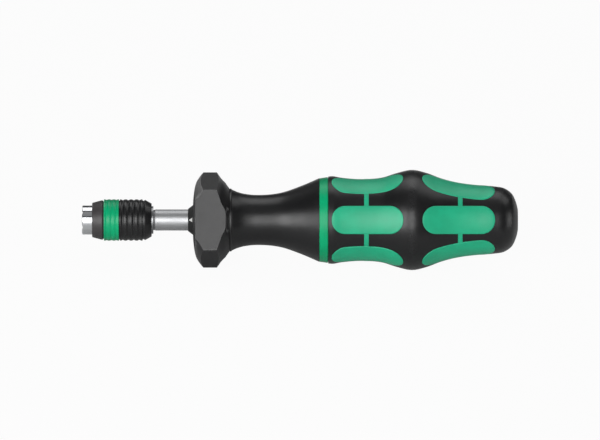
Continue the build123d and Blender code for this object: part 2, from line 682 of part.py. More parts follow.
handle_core, front_soft_grip, rear_soft_grip = handle_pieces()
clutch_balls = [ball.solid() for ball in clutch_ball_seats(CLUTCH_BALL_X, 0)]
pieces = {
    "chuck_body": chuck_body(),
    "bit_pusher": bit_pusher(),
    "pusher_spring": pusher_spring(),
    "locking_ball_upper": lock_ball_at(1) * Sphere(LOCK_BALL_R),
    "locking_ball_lower": lock_ball_at(-1) * Sphere(LOCK_BALL_R),
    "lock_ring": lock_ring(),
    "sleeve_spring": sleeve_spring(),
    "sleeve_front": sleeve_front(),
    "sleeve_colour_ring": sleeve_colour_ring(),
    "sleeve_grip": sleeve_grip(),
    "stop_washer": tube(CHUCK_LENGTH, SHANK_X, STOP_R, SPIGOT_R),
    "spindle": spindle(),
    "anti_roll_collar": collar(),
    "front_bush": tube(SPIGOT_X, SPIGOT_X + FRONT_BUSH, BUSH_R, BUSH_BORE_R),
    "neck_housing": neck(),
    "accent_ring": accent_ring(),
    "handle_core": handle_core,
    "front_soft_grip": front_soft_grip,
    "rear_soft_grip": rear_soft_grip,
    "clutch_housing": clutch_housing(),
    "rear_bush": tube(HOUSING_X, BORE_X, BUSH_R, BUSH_BORE_R),
    "thrust_washer": tube(BORE_X, BORE_X + WASHER_THICK, WASHER_R, SHANK_R + LOOSE_GAP),
    "drive_cam": drive_cam(),
    "clutch_balls": Compound(children=clutch_balls),
    "pressure_plate": pressure_plate(),
    "main_spring": main_spring(),
    "spring_nut": spring_nut(),
    "adjusting_screw": adjusting_screw(),
    "rear_plate": tube(REAR_PLATE_X, RETAINER_X, HOUSING_BORE_R, JOURNAL_R + TURN_GAP),
    "retaining_ring": retaining_ring(),
}
for name, piece in pieces.items():
    export_step(piece, f"parts/{name}.step")
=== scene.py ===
"""The looks of a preset torque screwdriver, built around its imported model."""

from math import asin, atan2, ceil, cos, degrees, hypot, pi, radians, sin, sqrt, tau

import bmesh
import bpy
from mathutils import Matrix, Vector
from mathutils.geometry import interpolate_bezier


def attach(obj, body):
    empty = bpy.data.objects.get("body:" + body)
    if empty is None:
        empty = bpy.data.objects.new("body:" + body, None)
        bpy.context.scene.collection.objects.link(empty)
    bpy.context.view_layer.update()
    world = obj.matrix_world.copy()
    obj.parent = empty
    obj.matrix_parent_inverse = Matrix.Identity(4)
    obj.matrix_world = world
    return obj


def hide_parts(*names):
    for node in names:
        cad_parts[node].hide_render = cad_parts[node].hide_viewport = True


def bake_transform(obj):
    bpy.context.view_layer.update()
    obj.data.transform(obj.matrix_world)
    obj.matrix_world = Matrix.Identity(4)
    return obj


bl_info = {
    "name": "Torque Screwdriver",
    "version": (1, 0, 0),
    "blender": (4, 5, 0),
    "location": "3D View > Sidebar > Torque Driver",
    "description": "Dresses the packed torque screwdriver with moulded, rubber and steel pieces",
    "category": "Object",
}

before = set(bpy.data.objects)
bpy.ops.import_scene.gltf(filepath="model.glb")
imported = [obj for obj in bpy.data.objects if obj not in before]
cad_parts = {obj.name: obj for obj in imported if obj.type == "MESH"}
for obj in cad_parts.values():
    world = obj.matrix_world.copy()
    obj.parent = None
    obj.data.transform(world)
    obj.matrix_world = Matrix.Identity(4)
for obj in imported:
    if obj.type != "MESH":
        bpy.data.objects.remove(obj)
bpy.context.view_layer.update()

# The screwdriver lies along +X from the mouth of its bit socket. Angles about the axis are
# in degrees from +Y towards +Z: the photographed side faces 150, and a wide flat of the
# collar and a row of grip pads are there. Outlines are (x, radius) points. Sizes and places
# are in millimetres, and MM makes them metres.
MM = 0.001
NEAR = 0.01  # slack when places and radii are compared
MERGE = 1e-7  # doubled vertices lie this near each other, in metres
CUT_SLACK = 1e-6  # a vertex this near a cutting plane lies on it
STEPS = 192  # round the turned pieces
COLLAR_STEPS = 240
CORNER_STEPS = 4  # round a small turned corner
SHARP = 38  # degrees from which an edge is sharp
FACET_SHARP = 18
FACE_AT = 30  # the middle of one of the six faces
PHOTO_SIDE = 150
MIDDLE_X = 77.5

# Sleeve
SLEEVE_X = 3.56
CONE_BORE_X = 4.16
RING_X = 7.76
GRIP_X = 13.1
TUBE_END = 22.0
SHOULDER_X = 22.4
LIP_X = 23.45
CHUCK_END = 24.7
LIP_BORE_R = 4.99
TIP_GAP_R = 5.235  # opening round the bright tip
SLEEVE_BORE_R = 6.09
SLEEVE_TUBE_R = 6.6
NOTCH_R = 6.88
CONE_R = 7.08
RING_EDGE_R = 7.25
GRIP_EDGE_R = 7.3
RIB_R = 7.37
RIB_POINTS = 12  # along each hollow and its rib
RING_RIM = 0.12  # before and behind the ring's ribs
RING_HOLLOWS = 3
GRIP_HOLLOWS = 4

# Collar
BOSS_X = 37.68
COLLAR_X = 39.42
WALL_X = 40.24
BELT_X = 43.4
SPIGOT_X = 44.0
BELT_END = 47.8
NECK_X = 52.4
SHAFT_BORE_R = 3.9
BOSS_R = 3.98
DOME_R = 5.3  # where the dome starts
SPIGOT_R = 7.5
BLANK_R = 17.4  # the collar before its flats are cut
WIDE_FLAT = 13.37  # distance of the wide flats from the axis
NARROW_FLAT = 15.976
FINE_CUTS = (40.3, 40.36, 40.42, 40.5, 51.1, 51.2, 51.3)  # for the wall and the step
WALL_REACH = 40  # degrees to each side of its flat's middle
WALL_FADE = 14  # the last of them, over which it fades out
STEP_REACH = 25
STEP_FADE = 12
DULL_X = 40.3  # the collar is duller up to here

# Index mark on the collar's boss
MARK_X = 38.0
MARK_END = 39.2
MARK_HALF = 0.8  # of its width
MARK_DEPTH = 0.15
MARK_SUNK = 0.11
MARK_CUTS = (-0.5, -0.25, 0, 0.25, 0.5)

# Neck, green ring and handle
HOUSING_X = 77.0
ACCENT_X = 84.38
HANDLE_X = 87.5
BORE_END = 146.0
HOLLOW_END = 153.0  # nothing inside the handle lies past this but the key bore
TAIL_X = 153.6  # the section turns round over the tail's length
TAIL_LENGTH = 1.4
KEY_CHAMFER_X = 154.75
HANDLE_END = 155.0
KEY_BORE_R = 3.4
KEY_CHAMFER = 0.25
BUSH_R = 5.04
OUTSIDE_R = 8.0  # the neck's whole outside lies beyond this
HOUSING_R = 9.5
RING_LIP_R = 14.95
FLATTENING = 0.008  # of the section under the pads

NECK = [
    (53.3, 10.86),
    (55.4, 9.95),
    (59.5, 9.08),
    (64.0, 8.93),
    (70.5, 9.66),
    (77.6, 12.02),
    (84.3, 14.89),
]
HANDLE = [
    (HANDLE_X, 15.45),
    (88.7, 15.6),
    (92.0, 15.1),
    (100.4, 14.56),
    (107.0, 15.18),
    (111.8, 16.68),
    (117.5, 17.83),
    (122.4, 16.8),
    (127.5, 14.9),
    (133.2, 13.4),
    (140.3, 12.38),
    (146.2, 12.02),
    (150.3, 11.25),
    (152.8, 9.45),
    (154.3, 6.5),
    (HANDLE_END, 3.7),
]

# Soft grips
PAD_WIDTH = 10.0
PAD_CORNER_R = 4.8
PAD_CORNER_STEPS = 10
PAD_DEPTH = 1.3
PAD_RIM = 0.18
RIM_STEPS = 3
CUTS_ALONG = 0.8  # between the cuts that let a pad follow the handle
CUTS_ACROSS = 0.75
CUTS_PER_SIDE = 6
BAND_WIDTH = 1.6
BAND_RISE = 0.04
BAND_LIFT = 0.02  # how far a band's inside lies over that of the pads
ROOM_RISES = (1.2, 1.18)  # of the room for the pads and for the band
GRIPS = {  # where the pads start, their length and the middle of their band
    "front_soft_grip": (88.75, 25.35, 101.05),
    "rear_soft_grip": (120.9, 25.8, 134.35),
}

# Stage
REST_X = 40.6  # the front of the collar's lower flat touches the floor
BULGE_X = 117.4  # and so does the underside of the bulge
BULGE_LOW = 17.69
FLOOR_GAP = 0.04
FLOOR_SIZE = 14  # metres
FLOOR_WHITE = 0.95  # share of the floor that the camera sees as plain white
MIRRORED_WHITE = 0.04  # and that metal mirrors as such
LAMP_DISTANCE = 1.0  # metres


def linear(red, green, blue):
    """A colour seen as these 0 to 255 values, as the shaders take it."""
    return tuple(
        ((value / 255 + 0.055) / 1.055) ** 2.4 if value > 10 else value / 3295
        for value in (red, green, blue)
    )


def opaque(red, green, blue):
    """The same colour with its alpha."""
    return linear(red, green, blue) + (1,)


class TorqueDriverColours(bpy.types.PropertyGroup):
    """Colours of the moulded pieces."""

    plastic: bpy.props.FloatVectorProperty(
        name="Black plastic",
        description="Colour of the collar, neck, handle and sleeve",
        subtype="COLOR",
        min=0,
        max=1,
        default=linear(19, 19, 20),
    )
    # Painted light: the cone is the same black plastic as the rest, made paler so that it looks as
    # bright as the light it catches
    cone: bpy.props.FloatVectorProperty(
        name="Cone plastic",
        description="Colour of the sleeve's front cone, a little paler than the rest",
        subtype="COLOR",
        min=0,
        max=1,
        default=linear(58, 55, 56),
    )
    accent: bpy.props.FloatVectorProperty(
        name="Green plastic",
        description="Colour of the ring on the sleeve and the ring before the handle",
        subtype="COLOR",
        min=0,
        max=1,
        default=linear(0, 155, 103),
    )
    rubber: bpy.props.FloatVectorProperty(
        name="Green rubber",
        description="Colour of the soft pads let into the handle",
        subtype="COLOR",
        min=0,
        max=1,
        default=linear(22, 172, 127),
    )


class TorqueDriverSizes(bpy.types.PropertyGroup):
    """Sizes of the fine forms that the frame doesn't fix."""

    rib_depth: bpy.props.FloatProperty(
        name="Grip rib depth",
        description="Depth of the hollows between the sleeve's black ribs",
        default=0.3 * MM,
        min=0.1 * MM,
        max=0.45 * MM,
        precision=5,
        unit="LENGTH",
    )
    ring_rib_depth: bpy.props.FloatProperty(
        name="Ring rib depth",
        description="Depth of the hollows in the sleeve's green ring",
        default=0.18 * MM,
        min=0.05 * MM,
        max=0.4 * MM,
        precision=5,
        unit="LENGTH",
    )
    pad_proud: bpy.props.FloatProperty(
        name="Pad height",
        description="How far the soft pads stand out of the handle",
        default=0.22 * MM,
        min=0.02 * MM,
        max=0.4 * MM,
        precision=5,
        unit="LENGTH",
    )
    pad_seam: bpy.props.FloatProperty(
        name="Pad seam",
        description="Width of the seam round the soft pads",
        default=0.05 * MM,
        min=0.02 * MM,
        max=0.2 * MM,
        precision=5,
        unit="LENGTH",
    )


class TorqueDriverStudio(bpy.types.PropertyGroup):
    """Camera and light of the stage."""

    elevation: bpy.props.FloatProperty(
        name="Camera elevation",
        description="How far the camera looks down",
        default=radians(30),
        min=0,
        max=radians(90),
        subtype="ANGLE",
    )
    frame_width: bpy.props.FloatProperty(
        name="Framed width",
        description="Width of the picture at the screwdriver",
        default=213.5 * MM,
        min=0.1,
        max=1,
        unit="LENGTH",
    )
    front_light: bpy.props.FloatProperty(
        name="Front light",
        description="Brightness of the soft light beside the camera, where 1 is white",
        default=4.5,
        min=0,
        max=10,
    )
    top_light: bpy.props.FloatProperty(
        name="Top light",
        description="Brightness of the soft light above, where 1 is white",
        default=1.7,
        min=0,
        max=10,
    )


class Number:
    """A shader number. Its operators add Math nodes."""

    def __init__(self, finish, socket):
        self.finish = finish
        self.socket = socket

    def math(self, operation, *values):
        inputs = dict(enumerate(values))
        node = self.finish.node("ShaderNodeMath", {"operation": operation}, inputs)
        return Number(self.finish, node.outputs[0])

    def __add__(self, other):
        return self.math("ADD", self, other)

    def __radd__(self, other):
        return self.math("ADD", other, self)

    def __sub__(self, other):
        return self.math("SUBTRACT", self, other)

    def __rsub__(self, other):
        return self.math("SUBTRACT", other, self)

    def __mul__(self, other):
        return self.math("MULTIPLY", self, other)

    def __rmul__(self, other):
        return self.math("MULTIPLY", other, self)

    def __pow__(self, other):
        return self.math("POWER", self, other)

    def __rpow__(self, other):
        return self.math("POWER", other, self)

    def rising(self, low, high):
        """0 up to low, 1 from high on, and smooth between."""
        settings = {"interpolation_type": "SMOOTHSTEP"}
        inputs = {"Value": self, "From Min": low, "From Max": high}
        node = self.finish.node("ShaderNodeMapRange", settings, inputs)
        return Number(self.finish, node.outputs[0])


class Finish:
    """One material: a Principled shader with constant values, and patterns that feed it."""

    def __init__(self, name, constants=()):
        self.material = bpy.data.materials.new(name)
        self.material.use_nodes = True
        self.tree = self.material.node_tree
        self.tree.nodes.clear()
        self.surface = self.node("ShaderNodeBsdfPrincipled", {}, dict(constants))
        self.node("ShaderNodeOutputMaterial", {}, {"Surface": self.surface.outputs[0]})
        self.place = self.node("ShaderNodeTexCoord", {}, {}).outputs["Object"]
        parts = self.node("ShaderNodeSeparateXYZ", {}, {"Vector": self.place}).outputs
        self.x, self.y, self.z = (Number(self, part) for part in parts)

    def node(self, kind, settings, inputs):
        """A node with its settings made first and then the values or links of its sockets."""
        node = self.tree.nodes.new(kind)
        for name, value in settings.items():
            setattr(node, name, value)
        for name, value in inputs.items():
            self.feed(node.inputs[name], value)
        return node

    def feed(self, socket, value):
        """Sets a socket, or links a number or another node's socket to it."""
        if isinstance(value, Number):
            value = value.socket
        if isinstance(value, bpy.types.NodeSocket):
            self.tree.links.new(value, socket)
        else:
            socket.default_value = value

    def noise(self, size, detail, place=None, rough=0.5):
        """Noise from 0 to 1 whose blotches are about this many millimetres across."""
        inputs = {
            "Scale": 1 / (size * MM),
            "Detail": detail,
            "Roughness": rough,
            "Vector": place or self.place,
        }
        return Number(self, self.node("ShaderNodeTexNoise", {}, inputs).outputs[0])

    def cells(self, size):
        """The distance to the nearest of scattered points about this many millimetres apart."""
        inputs = {"Scale": 1 / (size * MM), "Vector": self.place}
        return Number(self, self.node("ShaderNodeTexVoronoi", {}, inputs).outputs[0])

    def stretched(self, along, across):
        """Coordinates that draw a pattern out this many times along and across the axis."""
        scale = {0: self.place, 1: (1 / along, 1 / across, 1 / across)}
        return self.node("ShaderNodeVectorMath", {"operation": "MULTIPLY"}, scale).outputs[0]

    def radius(self):
        """The distance from the axis."""
        return (self.y * self.y + self.z * self.z) ** 0.5

    def rings(self, size, detail=3):
        """Turning marks about this many millimetres wide, on sides and end faces alike."""
        place = self.node("ShaderNodeCombineXYZ", {}, {0: self.x, 1: self.radius()}).outputs[0]
        return self.noise(size, detail, place)

    def mix(self, share, first, second):
        """A colour between two others."""
        inputs = {0: share, 6: first, 7: second}
        return self.node("ShaderNodeMix", {"data_type": "RGBA"}, inputs).outputs[2]

    def colour(self, value):
        self.feed(self.surface.inputs["Base Color"], value)

    def roughness(self, value):
        self.feed(self.surface.inputs["Roughness"], value)

    def bump(self, height, depth):
        """Relief of this many millimetres."""
        inputs = {"Height": height, "Distance": depth * MM, "Strength": 1.0}
        self.feed(self.surface.inputs["Normal"], self.node("ShaderNodeBump", {}, inputs).outputs[0])


def shade(colour, factor):
    """A lighter or darker copy of a colour, with its alpha."""
    return (*(min(1, c * factor) for c in colour[:3]), 1)


def moulded_plastic(name, colour, gloss, grain, wear_and_highlight=None, shine=0.45, dull_to=None):
    """Moulded plastic with a fine spark-eroded grain and faint flow clouds. Between two radii it
    may be glossier from wear and lighter in tone, which is a painted highlight on those
    ridges; it may be duller up to a place along the axis."""
    finish = Finish(name, {"Specular IOR Level": shine})
    grain_noise = finish.noise(0.22, 3)
    clouds = finish.noise(9, 3)
    smudges = finish.noise(3.1, 4, rough=0.6).rising(0.45, 0.75)
    tone = finish.mix(clouds.rising(0.3, 0.75), shade(colour, 0.88), shade(colour, 1.16))
    tone = finish.mix(grain_noise.rising(0.55, 0.8) * 0.25, tone, shade(colour, 1.7))
    rough = gloss - 0.04 + clouds * 0.05 + smudges * 0.05 + grain_noise * 0.06
    if wear_and_highlight:
        low, high = wear_and_highlight
        # Painted highlight on the ridges: a lighter tone there, beside the lower roughness of wear
        worn_and_highlit = finish.radius().rising(low * MM, high * MM) * finish.noise(1.2, 4).rising(0.35, 0.6)
        tone = finish.mix(worn_and_highlit * 0.5, tone, shade(colour, 2.6))
        rough = rough - worn_and_highlit * 0.08
    if dull_to:
        rough = rough + (1 - finish.x.rising((dull_to - 0.1) * MM, dull_to * MM)) * 0.35
    finish.colour(tone)
    finish.roughness(rough)
    finish.bump(grain_noise, grain)
    return finish.material


def soft_rubber(name, colour):
    """Matt soft rubber with a velvet grain and faint patches from handling."""
    finish = Finish(name, {"Sheen Weight": 0.02, "Sheen Roughness": 0.4, "Specular IOR Level": 0.5})
    grain_noise = finish.noise(0.16, 3)
    clouds = finish.noise(7, 3)
    handled = finish.noise(16, 4, rough=0.6).rising(0.4, 0.72)
    tone = finish.mix(clouds.rising(0.3, 0.72), shade(colour, 0.92), shade(colour, 1.08))
    tone = finish.mix(grain_noise.rising(0.5, 0.75) * 0.35, tone, shade(colour, 0.78))
    tone = finish.mix(handled * 0.3, tone, shade(colour, 0.86))
    finish.colour(tone)
    finish.roughness(0.38 + grain_noise * 0.1 - handled * 0.05)
    finish.bump(grain_noise, 0.03)
    return finish.material


def polished_chrome(name):
    """Bright chrome over turned steel, with faint wiping marks."""
    finish = Finish(name, {"Metallic": 1.0})
    rings = finish.rings(0.09)
    wiping = finish.noise(2.4, 4, finish.stretched(5, 1), 0.6)
    bright, wiped = opaque(226, 227, 229), opaque(214, 216, 219)
    finish.colour(finish.mix(wiping.rising(0.4, 0.7), bright, wiped))
    finish.roughness(0.07 + wiping.rising(0.4, 0.75) * 0.05 + rings * 0.04)
    finish.bump(rings, 0.0012)
    return finish.material


def turned_steel(name, colour, gloss, pitch, depth, stains=0.3):
    """Turned or ground steel: rings round the axis, fine scratches and faint stains."""
    finish = Finish(name, {"Metallic": 1.0})
    rings = finish.rings(pitch)
    fine = finish.rings(pitch / 4, 2)
    scratches = finish.noise(0.3, 3, finish.stretched(14, 1)).rising(0.62, 0.72)
    clouds = finish.noise(5, 3).rising(0.4, 0.7)
    tone = finish.mix(rings.rising(0.3, 0.7) * 0.5, shade(colour, 0.9), shade(colour, 1.08))
    tone = finish.mix(clouds * stains, tone, shade(colour, 0.72))
    finish.colour(tone)
    finish.roughness(gloss - 0.05 + rings * 0.1 + fine * 0.06 + scratches * 0.06 + clouds * 0.05)
    finish.bump(rings * 0.6 + fine * 0.4 - scratches * 0.3, depth)
    return finish.material


def drawn_wire(name, colour):
    """Spring wire: dark, oily steel with short drawing marks."""
    finish = Finish(name, {"Metallic": 1.0})
    marks = finish.noise(0.2, 3, finish.stretched(1, 4))
    oil = finish.noise(2.2, 3).rising(0.4, 0.66)
    tone = finish.mix(oil * 0.6, colour, opaque(120, 112, 104))
    finish.colour(finish.mix(marks.rising(0.4, 0.7) * 0.4, tone, shade(colour, 1.35)))
    finish.roughness(0.3 + marks * 0.14 - oil * 0.06)
    finish.bump(marks, 0.005)
    return finish.material


def sintered_bronze(name):
    """Sintered bronze: turned, with open pores and oil stains."""
    finish = Finish(name, {"Metallic": 1.0})
    pores = 1 - finish.cells(0.16).rising(0.1, 0.32)
    rings = finish.rings(0.15)
    stains = finish.noise(3.5, 4).rising(0.42, 0.7)
    bronze = opaque(196, 142, 84)
    tone = finish.mix(stains * 0.5, bronze, shade(bronze, 0.6))
    finish.colour(finish.mix(pores * 0.7, tone, shade(bronze, 0.3)))
    finish.roughness(0.34 + pores * 0.3 + rings * 0.08)
    finish.bump(rings * 0.3 - pores, 0.02)
    return finish.material


def pressed_ink(name):
    """Pale pad-printed ink, a little thin and speckled."""
    finish = Finish(name, {"Specular IOR Level": 0.4})
    speckle = finish.noise(0.12, 3)
    ink = opaque(198, 198, 196)
    finish.colour(finish.mix(speckle.rising(0.55, 0.75) * 0.5, ink, shade(ink, 0.6)))
    finish.roughness(0.5 + speckle * 0.15)
    finish.bump(speckle, 0.01)
    return finish.material


def pale_floor(name):
    """A pale floor that looks white to the camera and keeps the screwdriver's shadow."""
    finish = Finish(name)
    paper = finish.noise(1.5, 3)
    finish.colour(finish.mix(paper, opaque(190, 190, 190), opaque(198, 198, 198)))
    finish.roughness(0.9 + paper * 0.05)
    rays = finish.node("ShaderNodeLightPath", {}, {}).outputs
    mirrored = Number(finish, rays["Is Glossy Ray"]) + Number(finish, rays["Is Transmission Ray"])
    seen = Number(finish, rays["Is Camera Ray"])
    share = seen * FLOOR_WHITE + mirrored * MIRRORED_WHITE
    glow = finish.node("ShaderNodeEmission", {}, {"Color": (1, 1, 1, 1), "Strength": 1.0})
    inputs = {0: share, 1: finish.surface.outputs[0], 2: glow.outputs[0]}
    both = finish.node("ShaderNodeMixShader", {}, inputs)
    output = next(node for node in finish.tree.nodes if node.type == "OUTPUT_MATERIAL")
    finish.feed(output.inputs["Surface"], both.outputs[0])
    return finish.material


def plain_world(name):
    """Dim grey surroundings that look white to the camera, as the floor does."""
    world = bpy.data.worlds.new(name)
    world.use_nodes = True
    nodes, links = world.node_tree.nodes, world.node_tree.links
    rays = nodes.new("ShaderNodeLightPath").outputs["Is Camera Ray"]
    mix = nodes.new("ShaderNodeMix")
    mix.data_type = "RGBA"
    mix.inputs[6].default_value = opaque(75, 76, 77)
    mix.inputs[7].default_value = opaque(252, 252, 252)
    links.new(rays, mix.inputs[0])
    links.new(mix.outputs[2], nodes["Background"].inputs["Color"])
    return world


def outline_through(stations, step, end=None):
    """A smooth outline through stations, with a point about every step. The direction in
    which it ends may be given, in degrees from the axis."""
    points = [Vector(station) for station in stations]
    gaps = [(b - a).length for a, b in zip(points, points[1:])]
    runs = [(b - a) / gap for a, b, gap in zip(points, points[1:], gaps)]
    ways = [None]
    for before, after, gap, next_gap in zip(runs, runs[1:], gaps, gaps[1:]):
        ways.append((before * next_gap + after * gap) / (gap + next_gap))
    ways[0] = 1.5 * runs[0] - 0.5 * ways[1]
    ways.append(1.5 * runs[-1] - 0.5 * ways[-1])
    if end is not None:
        ways[-1] = Vector((cos(radians(end)), sin(radians(end))))
    outline = [tuple(points[0])]
    for a, b, gap, way, next_way in zip(points, points[1:], gaps, ways, ways[1:]):
        count = ceil(gap / step) + 1
        curve = interpolate_bezier(a, a + way * gap / 3, b - next_way * gap / 3, b, count)
        outline.extend((point.x, point.y) for point in curve[1:])
    return outline


def radius_at(outline, x):
    """The outline's radius at this place along the axis."""
    for (xa, ra), (xb, rb) in zip(outline, outline[1:]):
        if x <= xb:
            return ra + (rb - ra) * (x - xa) / (xb - xa)
    return outline[-1][1]


def ribbed(start, end, hollows, depth):
    """Outline points of a stretch of the sleeve with smooth hollows between its ribs."""
    points = []
    for k in range(RIB_POINTS * hollows + 1):
        x = start + (end - start) * k / (RIB_POINTS * hollows)
        points.append((x, RIB_R - depth * sin(pi * k / RIB_POINTS) ** 4))
    return points


def smooth_share(value):
    """Eases from 0 to 1 as the value goes from 0 to 1."""
    value = min(max(value, 0), 1)
    return value * value * (3 - 2 * value)


def off_face(angle, turns, first):
    """How far an angle is from the nearest of evenly spaced directions."""
    step = 360 / turns
    return abs((angle - first + step / 2) % step - step / 2)


def section_share(angle):
    """How far the section of neck and handle reaches at this angle, as a share of its
    radius: it is round but for six places, under the pads, that are a little flatter."""
    return 1 - FLATTENING * (1 + cos(radians(6 * (angle - FACE_AT)))) / 2


def face_height(full_r, across):
    """The height of that section's flatter place, at a distance across from its middle."""
    radius = full_r
    for _ in range(6):  # radius and angle depend on each other, and settle in a few rounds
        radius = full_r * section_share(FACE_AT + degrees(asin(across / radius)))
    return sqrt(radius**2 - across**2)


def bevel(mesh, parts, offset, segments, affect):
    """Rounds vertices or edges."""
    bmesh.ops.bevel(
        mesh,
        geom=parts,
        offset=offset,
        offset_type="OFFSET",
        segments=segments,
        profile=0.5,
        affect=affect,
        material=-1,
    )


def turned(outline, rounds=(), steps=STEPS):
    """A closed outline spun about the axis. Its rounds are corners, by their number in the
    outline, and their radii."""
    mesh = bmesh.new()
    corners = [mesh.verts.new((x * MM, r * MM, 0)) for x, r in outline]
    for a, b in zip(corners, corners[1:] + corners[:1]):
        mesh.edges.new((a, b))
    for corner, radius in rounds:
        bevel(mesh, [corners[corner]], radius * MM, CORNER_STEPS, "VERTICES")
    bmesh.ops.spin(
        mesh,
        geom=mesh.verts[:] + mesh.edges[:],
        cent=(0, 0, 0),
        axis=(1, 0, 0),
        angle=tau,
        steps=steps,
        use_merge=True,
    )
    close_up(mesh)
    return mesh


def close_up(mesh):
    """Merges doubled vertices and turns the faces outwards."""
    bmesh.ops.remove_doubles(mesh, verts=mesh.verts[:], dist=MERGE)
    bmesh.ops.recalc_face_normals(mesh, faces=mesh.faces[:])


def cut_flat(mesh, place, normal, clear_outer=False):
    """Adds edges where a plane crosses the mesh, and may remove what lies beyond it."""
    cut = bmesh.ops.bisect_plane(
        mesh,
        geom=mesh.verts[:] + mesh.edges[:] + mesh.faces[:],
        dist=CUT_SLACK,
        plane_co=place,
        plane_no=normal,
        clear_outer=clear_outer,
    )["geom_cut"]
    return [part for part in cut if isinstance(part, bmesh.types.BMEdge)]


def vertices_of(geometry):
    """The vertices among the parts that an operator returns."""
    return [part for part in geometry if isinstance(part, bmesh.types.BMVert)]


def polar(vertex):
    """A vertex's place along the axis, radius and angle, in millimetres and degrees."""
    x, y, z = vertex.co / MM
    return x, hypot(y, z), degrees(atan2(z, y))


def set_radius(vertex, radius):
    """Moves a vertex in or out to this radius."""
    scale = radius * MM / hypot(vertex.co.y, vertex.co.z)
    vertex.co.y *= scale
    vertex.co.z *= scale


def place_on_side(vertex, x, across, height, angle):
    """Puts a vertex this many millimetres over the axis, on the side that faces an angle."""
    c, s = cos(radians(angle)), sin(radians(angle))
    vertex.co = Vector((x, c * height - s * across, s * height + c * across)) * MM


def flatten(mesh, bore_r):
    """Gives the outside of a turned piece the handle's section, and leaves its bore round."""
    for vertex in mesh.verts:
        _, r, angle = polar(vertex)
        if r > bore_r + NEAR:
            set_radius(vertex, r * section_share(angle))


def show(mesh, name):
    """A new object from a mesh that is being modelled."""
    data = bpy.data.meshes.new(name)
    mesh.to_mesh(data)
    mesh.free()
    piece = bpy.data.objects.new(name, data)
    bpy.context.scene.collection.objects.link(piece)
    return piece


def coat(piece, finish, sharp=SHARP):
    """Gives a piece one finish and smooth shading, with its edges sharp from an angle."""
    piece.data.materials.clear()
    piece.data.materials.append(finish)
    piece.data.shade_smooth()
    piece.data.set_sharp_from_angle(angle=radians(sharp))


def dress(piece, finish, body, slot, *nodes, sharp=SHARP):
    """Gives a piece its finish and its body, and hides the CAD nodes that it stands for."""
    coat(piece, finish, sharp)
    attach(piece, body)
    if nodes:
        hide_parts(*nodes)


def combine(piece, other, operation):
    """Joins another shape to a piece or cuts it out, and removes the other shape."""
    modifier = piece.modifiers.new(operation.title(), "BOOLEAN")
    modifier.operation = operation
    modifier.solver = "EXACT"
    modifier.object = other
    seen = piece.evaluated_get(bpy.context.evaluated_depsgraph_get())
    data = bpy.data.meshes.new_from_object(seen)
    piece.modifiers.clear()
    old = piece.data
    piece.data = data
    bpy.data.meshes.remove(old)
    bpy.data.meshes.remove(other.data)
    if not data.polygons:
        raise RuntimeError(f"{piece.name} lost its faces")


def refinish(finish, *nodes):
    """Gives CAD nodes another material."""
    for node in nodes:
        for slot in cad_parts[node].material_slots:
            slot.material = finish


def spring_piece(node, finish):
    """A spring of the CAD node's shape, as a piece of its own in place of the node."""
    mesh = bmesh.new()
    mesh.from_mesh(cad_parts[node].data)
    bmesh.ops.remove_doubles(mesh, verts=mesh.verts[:], dist=MERGE)
    piece = show(mesh, node + "_coil")
    coat(piece, finish)
    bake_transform(piece)
    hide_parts(node)


def sleeve_pieces(sizes):
    """The front cone with its tube, the green ring and the ribbed grip."""
    ring_depth, grip_depth = sizes.ring_rib_depth / MM, sizes.rib_depth / MM
    cone = turned(
        [
            (SLEEVE_X, TIP_GAP_R),
            (SLEEVE_X, 6.12),
            (7.16, CONE_R),
            (7.64, SLEEVE_TUBE_R),
            (TUBE_END, SLEEVE_TUBE_R),
            (TUBE_END, SLEEVE_BORE_R),
            (CONE_BORE_X, SLEEVE_BORE_R),
            (CONE_BORE_X, TIP_GAP_R),
        ],
        rounds=[(1, 0.22), (2, 0.12)],
    )
    ring = turned(
        [
            (RING_X, SLEEVE_TUBE_R),
            (RING_X, RING_EDGE_R),
            *ribbed(RING_X + RING_RIM, GRIP_X - RING_RIM, RING_HOLLOWS, ring_depth),
            (GRIP_X, RING_EDGE_R),
            (GRIP_X, SLEEVE_TUBE_R),
        ]
    )
    grip = turned(
        [
            (GRIP_X, SLEEVE_TUBE_R),
            (GRIP_X, 6.9),
            (13.38, 6.9),
            (13.44, GRIP_EDGE_R),
            *ribbed(13.5, 21.3, GRIP_HOLLOWS, grip_depth),
            (21.45, GRIP_EDGE_R),
            (21.55, NOTCH_R),
            (21.95, NOTCH_R),
            (SHOULDER_X, 7.19),
            (CHUCK_END, 5.9),
            (CHUCK_END, LIP_BORE_R),
            (LIP_X, LIP_BORE_R),
            (LIP_X, SLEEVE_BORE_R),
            (TUBE_END, SLEEVE_BORE_R),
            (TUBE_END, SLEEVE_TUBE_R),
        ],
        rounds=[(-7, 0.15), (-6, 0.15)],
    )
    return cone, ring, grip


